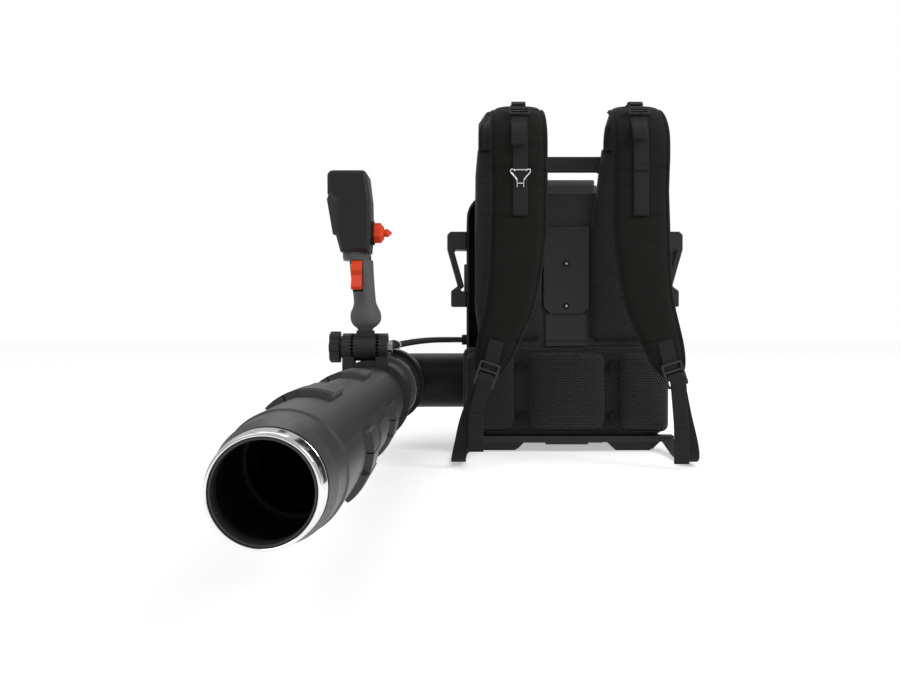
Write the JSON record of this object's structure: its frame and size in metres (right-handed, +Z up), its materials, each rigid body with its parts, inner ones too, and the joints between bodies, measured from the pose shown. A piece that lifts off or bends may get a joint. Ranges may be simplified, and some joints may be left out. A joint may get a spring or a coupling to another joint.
{
  "type": "backpack leaf blower",
  "caption": "Battery backpack leaf blower: harness with padded straps and frame, fan unit, and a side blower tube with elbow, bellows and a tilting throttle handle",
  "frame": {"origin": "on the floor under the pack's middle plane, at the middle of the skid under the base frame; 115 mm behind the back frame's front face", "axes": "+Z up; the harness and the blower tube face -Y; the tube is on the -X side"},
  "size_m": [0.602, 1.321, 0.594],
  "materials": {
    "frame_plastic": "fine-grained black plastic",
    "housing_plastic": "satin black plastic",
    "casing_plastic": "black plastic",
    "vent_plastic": "grey ribbed plastic",
    "rubber": "matt black rubber",
    "bellows_rubber": "soft black rubber",
    "mesh_fabric": "black honeycomb mesh over foam",
    "pad_fabric": "black woven cover",
    "strap_fabric": "warm black woven cover",
    "webbing": "black woven webbing",
    "buckle_plastic": "black moulded plastic",
    "button_plastic": "black moulded plastic",
    "conduit": "black ribbed conduit",
    "aluminium": "cast aluminium",
    "steel": "zinc-plated steel",
    "bright_steel": "polished steel",
    "brass": "plated brass",
    "battery_plastic": "black plastic",
    "battery_grey": "light grey plastic",
    "elbow_plastic": "satin black plastic",
    "tube_plastic": "dark grey textured plastic",
    "bracket_plastic": "black glass-filled plastic",
    "collar_grey": "grey plastic",
    "white_plastic": "white nylon tie",
    "chrome": "polished metal ring",
    "grip_grey": "soft grey grip",
    "head_plastic": "satin black plastic",
    "display_gloss": "glossy black window",
    "orange_plastic": "orange plastic"
  },
  "bodies": {
    "base": {"base_frame": "frame_plastic", "foot_pads": "rubber", "back_frame": "frame_plastic", "spine_panel": "frame_plastic", "back_pads": "mesh_fabric", "hip_pad": "pad_fabric", "hip_cushions": "mesh_fabric", "pad_buttons": "button_plastic", "main_housing": "housing_plastic", "side_vents": "vent_plastic", "side_guards": "frame_plastic", "fan_casing_front": "casing_plastic", "fan_casing_back": "casing_plastic", "inlet_grille": "casing_plastic", "motor_housing": "aluminium", "motor_stator": "steel", "shaft_bearings": "steel", "motor_controller": "aluminium", "battery_bay": "housing_plastic", "battery_terminals": "brass", "shoulder_straps": "strap_fabric", "strap_webbing": "webbing", "top_buckles": "buckle_plastic", "ladder_buckles": "buckle_plastic", "lower_webbing": "webbing", "cable_gland": "rubber", "cable_rear": "conduit", "elbow_seal": "rubber", "housing_screws": "steel"},
    "battery": {"battery_case": "battery_plastic", "battery_cap": "battery_grey"},
    "latch": {"battery_latch": "button_plastic"},
    "fan": {"impeller": "casing_plastic", "motor_rotor": "steel", "impeller_nut": "steel"},
    "elbow": {"elbow_pipe": "elbow_plastic", "bellows": "bellows_rubber", "cable_tie": "white_plastic", "cable_middle": "conduit"},
    "sleeve": {"turning_sleeve": "collar_grey", "band_clamp": "bright_steel"},
    "tube": {"swivel_pipe": "tube_plastic", "handle_bracket": "bracket_plastic", "bracket_fasteners": "steel", "cable_front": "conduit"},
    "middle": {"middle_pipe": "tube_plastic"},
    "nozzle": {"front_pipe": "tube_plastic", "nozzle_ring": "chrome"},
    "handle": {"handle_hub": "bracket_plastic", "grip_shell_left": "grip_grey", "grip_shell_right": "grip_grey", "grip_collar": "collar_grey", "control_head": "head_plastic", "display_panel": "display_gloss", "trigger_pin": "steel"},
    "trigger": {"trigger": "orange_plastic"},
    "dial": {"speed_dial": "orange_plastic"},
    "button": {"boost_button": "button_plastic"},
    "knob": {"clamp_knob": "bracket_plastic"},
    "hook": {"wire_hook": "bright_steel"}
  },
  "joints": [
    {"name": "fan_spin", "type": "hinge", "parent": "base", "child": "fan", "pos_m": [0, -0.01, 0.235], "axis": [0, 1, 0], "continuous": true},
    {"name": "battery_slide", "type": "slide", "parent": "base", "child": "battery", "axis": [0, 0, 1], "range_m": [0, 0.21]},
    {"name": "battery_latch_press", "type": "slide", "parent": "base", "child": "latch", "axis": [0, -1, 0], "range_m": [0, 0.002], "stiffness_N_per_m": 700},
    {"name": "elbow_pitch", "type": "hinge", "parent": "base", "child": "elbow", "pos_m": [-0.321, -0.01, 0.1205], "axis": [-1, 0, 0], "range_deg": [-30, 50], "deforming": ["cable_rear"]},
    {"name": "tube_bend", "type": "hinge", "parent": "elbow", "child": "sleeve", "pos_m": [-0.321, -0.198, 0.1205], "axis": [0, 0, 1], "range_deg": [-15, 10], "deforming": ["bellows", "cable_middle"]},
    {"name": "tube_swivel", "type": "hinge", "parent": "sleeve", "child": "tube", "pos_m": [-0.321, -0.25, 0.1205], "axis": [0, 1, 0], "range_deg": [-45, 10], "deforming": ["cable_front"]},
    {"name": "middle_pipe_twist", "type": "hinge", "parent": "tube", "child": "middle", "pos_m": [-0.321, -0.68, 0.1205], "axis": [0, 1, 0], "range_deg": [-7, 7]},
    {"name": "front_pipe_twist", "type": "hinge", "parent": "middle", "child": "nozzle", "pos_m": [-0.321, -0.94, 0.1205], "axis": [0, 1, 0], "range_deg": [-7, 7]},
    {"name": "handle_tilt", "type": "hinge", "parent": "tube", "child": "handle", "pos_m": [-0.328, -0.452, 0.1973], "axis": [1, 0, 0], "range_deg": [-20, 40]},
    {"name": "knob_turn", "type": "hinge", "parent": "tube", "child": "knob", "pos_m": [-0.38, -0.452, 0.1973], "axis": [-1, 0, 0], "range_deg": [-90, 90]},
    {"name": "trigger_pull", "type": "hinge", "parent": "handle", "child": "trigger", "pos_m": [-0.33779, -0.4675, 0.3153], "axis": [1, 0, 0], "range_deg": [0, 10], "stiffness_Nm_per_rad": 0.6},
    {"name": "speed_dial_turn", "type": "hinge", "parent": "handle", "child": "dial", "pos_m": [-0.34368, -0.452, 0.3623], "axis": [1, 0, 0], "range_deg": [0, 270]},
    {"name": "boost_button_press", "type": "slide", "parent": "handle", "child": "button", "axis": [0, -1, 0], "range_m": [0, 0.002], "stiffness_N_per_m": 600},
    {"name": "hook_swing", "type": "hinge", "parent": "base", "child": "hook", "pos_m": [-0.096, -0.3301, 0.4745], "axis": [-1, 0, 0], "range_deg": [0, 75]}
  ]
}
